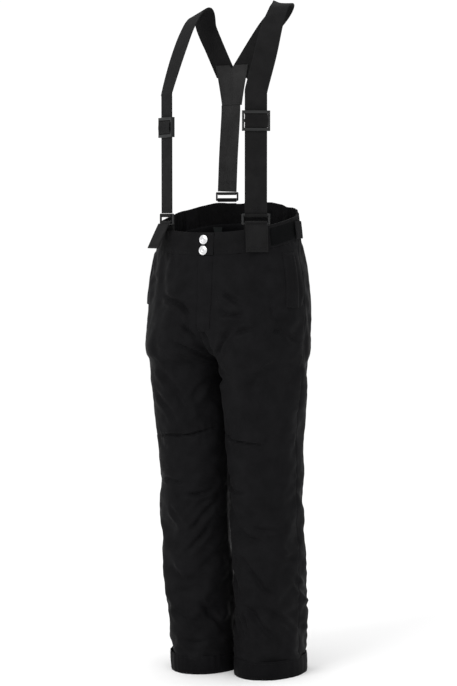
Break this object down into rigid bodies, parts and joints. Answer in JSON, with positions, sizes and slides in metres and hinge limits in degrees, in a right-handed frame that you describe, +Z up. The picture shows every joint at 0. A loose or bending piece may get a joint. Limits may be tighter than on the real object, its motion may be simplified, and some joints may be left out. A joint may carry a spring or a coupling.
{
  "type": "ski pants",
  "caption": "Insulated child's ski pants with a high back waist, snap and zip fly, zipped side pockets, waist tabs and clip-on adjustable braces.",
  "frame": {"origin": "middle of the bounding box, on the floor under the hems", "axes": "+Z up, -Y the front of the garment, +X the wearer's left"},
  "size_m": [0.2998, 0.2358, 1.1643],
  "materials": {
    "shell_fabric": "matt woven nylon, slight sheen",
    "wadding": "soft fibre fill",
    "lining_fabric": "smooth taffeta",
    "hem_fabric": "matt reinforced nylon",
    "gaiter_fabric": "coated taffeta",
    "elastic": "ribbed knitted elastic",
    "waist_fabric": "matt woven nylon",
    "label": "plain woven label, blank",
    "zip_tape": "woven polyester tape",
    "zip_coil": "nylon coil",
    "zip_metal": "black lacquer",
    "snap_metal": "bright plated",
    "loop_tape": "napped loop pile",
    "webbing": "ribbed woven polyester",
    "black_plastic": "satin moulded acetal",
    "black_metal": "black satin lacquer",
    "yoke_fabric": "stitched double fabric"
  },
  "bodies": {
    "trousers": {"front_panel_right": "shell_fabric", "front_panel_left": "shell_fabric", "back_panel_right": "shell_fabric", "back_panel_left": "shell_fabric", "wadding_right": "wadding", "wadding_left": "wadding", "lining_right": "lining_fabric", "lining_left": "lining_fabric", "hem_band_right": "hem_fabric", "hem_band_left": "hem_fabric", "snow_gaiter_right": "gaiter_fabric", "snow_gaiter_left": "gaiter_fabric", "gaiter_elastic_right": "elastic", "gaiter_elastic_left": "elastic", "waistband_front_right": "waist_fabric", "waistband_front_left": "waist_fabric", "waistband_back": "waist_fabric", "waist_elastic": "elastic", "size_label": "label", "fly_placket": "shell_fabric", "fly_underlap": "lining_fabric", "fly_zip_tapes": "zip_tape", "fly_zip_coils": "zip_coil", "fly_zip_stops": "zip_metal", "waist_tongue": "waist_fabric", "snap_studs": "snap_metal", "pocket_welt_right": "shell_fabric", "pocket_welt_left": "shell_fabric", "pocket_bag_right": "lining_fabric", "pocket_bag_left": "lining_fabric", "pocket_zip_right": "zip_tape", "pocket_zip_left": "zip_tape", "waist_patch_right": "loop_tape", "waist_patch_left": "loop_tape", "brace_strap_right": "webbing", "brace_strap_left": "webbing", "brace_tab_loop_right": "webbing", "brace_tab_loop_left": "webbing", "brace_yoke": "yoke_fabric", "back_strap": "webbing", "back_ring_loop": "webbing"},
    "fly_slider": {"fly_slider": "zip_metal"},
    "fly_pull": {"fly_pull": "zip_metal"},
    "waist_lap": {"waist_lap": "waist_fabric", "snap_caps": "snap_metal", "snap_sockets": "snap_metal"},
    "back_ring": {"back_ring": "black_metal"},
    "pocket_slider_right": {"pocket_slider_right": "zip_metal"},
    "pocket_pull_right": {"pocket_pull_right": "zip_metal"},
    "waist_tab_right": {"waist_tab_right": "waist_fabric"},
    "brace_adjuster_right": {"brace_adjuster_right": "black_plastic"},
    "brace_ring_right": {"brace_ring_right": "black_metal"},
    "brace_tab_flap_right": {"brace_tab_flap_right": "webbing"},
    "pocket_slider_left": {"pocket_slider_left": "zip_metal"},
    "pocket_pull_left": {"pocket_pull_left": "zip_metal"},
    "waist_tab_left": {"waist_tab_left": "waist_fabric"},
    "brace_adjuster_left": {"brace_adjuster_left": "black_plastic"},
    "brace_ring_left": {"brace_ring_left": "black_metal"},
    "brace_tab_flap_left": {"brace_tab_flap_left": "webbing"}
  },
  "joints": [
    {"name": "fly_zip", "type": "slide", "parent": "trousers", "child": "fly_slider", "axis": [0, 0.0671, 0.9977], "range_m": [-0.099, 0]},
    {"name": "fly_pull_lift", "type": "hinge", "parent": "fly_slider", "child": "fly_pull", "pos_m": [0.01, -0.10529, 0.72228], "axis": [-1, 0, 0], "range_deg": [0, 3]},
    {"name": "waist_lap_open", "type": "hinge", "parent": "trousers", "child": "waist_lap", "pos_m": [0.027, -0.10672, 0.731], "axis": [0, 0.0832, 0.9965], "range_deg": [0, 80]},
    {"name": "pocket_zip_right", "type": "slide", "parent": "trousers", "child": "pocket_slider_right", "axis": [0.1374, 0.0699, 0.988], "range_m": [-0.064, 0]},
    {"name": "pocket_pull_lift_right", "type": "hinge", "parent": "pocket_slider_right", "child": "pocket_pull_right", "pos_m": [-0.13323, -0.03072, 0.72266], "axis": [-0.3385, 0.9408, -0.0195], "range_deg": [0, 3]},
    {"name": "waist_tab_peel_right", "type": "hinge", "parent": "trousers", "child": "waist_tab_right", "pos_m": [-0.12945, 0.01693, 0.758], "axis": [-0.1077, 0.0267, -0.9938], "range_deg": [0, 100]},
    {"name": "brace_adjuster_slide_right", "type": "slide", "parent": "trousers", "child": "brace_adjuster_right", "axis": [0, 0, 1], "range_m": [-0.11, 0.02]},
    {"name": "brace_ring_swing_right", "type": "hinge", "parent": "trousers", "child": "brace_ring_right", "pos_m": [-0.07738, -0.08304, 0.7836], "axis": [0.8659, -0.5002, 0], "range_deg": [-10, 10]},
    {"name": "brace_tab_peel_right", "type": "hinge", "parent": "trousers", "child": "brace_tab_flap_right", "pos_m": [-0.07998, -0.08754, 0.7832], "axis": [-0.8659, 0.5002, 0], "range_deg": [-20, 80]},
    {"name": "pocket_zip_left", "type": "slide", "parent": "trousers", "child": "pocket_slider_left", "axis": [-0.1374, 0.0699, 0.988], "range_m": [-0.064, 0]},
    {"name": "pocket_pull_lift_left", "type": "hinge", "parent": "pocket_slider_left", "child": "pocket_pull_left", "pos_m": [0.13323, -0.03072, 0.72266], "axis": [-0.3385, -0.9408, 0.0195], "range_deg": [0, 3]},
    {"name": "waist_tab_peel_left", "type": "hinge", "parent": "trousers", "child": "waist_tab_left", "pos_m": [0.12945, 0.01693, 0.758], "axis": [-0.1077, -0.0267, 0.9938], "range_deg": [0, 100]},
    {"name": "brace_adjuster_slide_left", "type": "slide", "parent": "trousers", "child": "brace_adjuster_left", "axis": [0, 0, 1], "range_m": [-0.11, 0.02]},
    {"name": "brace_ring_swing_left", "type": "hinge", "parent": "trousers", "child": "brace_ring_left", "pos_m": [0.09127, -0.07344, 0.7836], "axis": [0.7711, 0.6368, 0], "range_deg": [-10, 10]},
    {"name": "brace_tab_peel_left", "type": "hinge", "parent": "trousers", "child": "brace_tab_flap_left", "pos_m": [0.09458, -0.07745, 0.7832], "axis": [-0.7711, -0.6368, 0], "range_deg": [0, 100]},
    {"name": "back_ring_swing", "type": "hinge", "parent": "trousers", "child": "back_ring", "pos_m": [-0.038, 0.05424, 0.8245], "axis": [1, 0, 0], "range_deg": [-12, 12]}
  ]
}
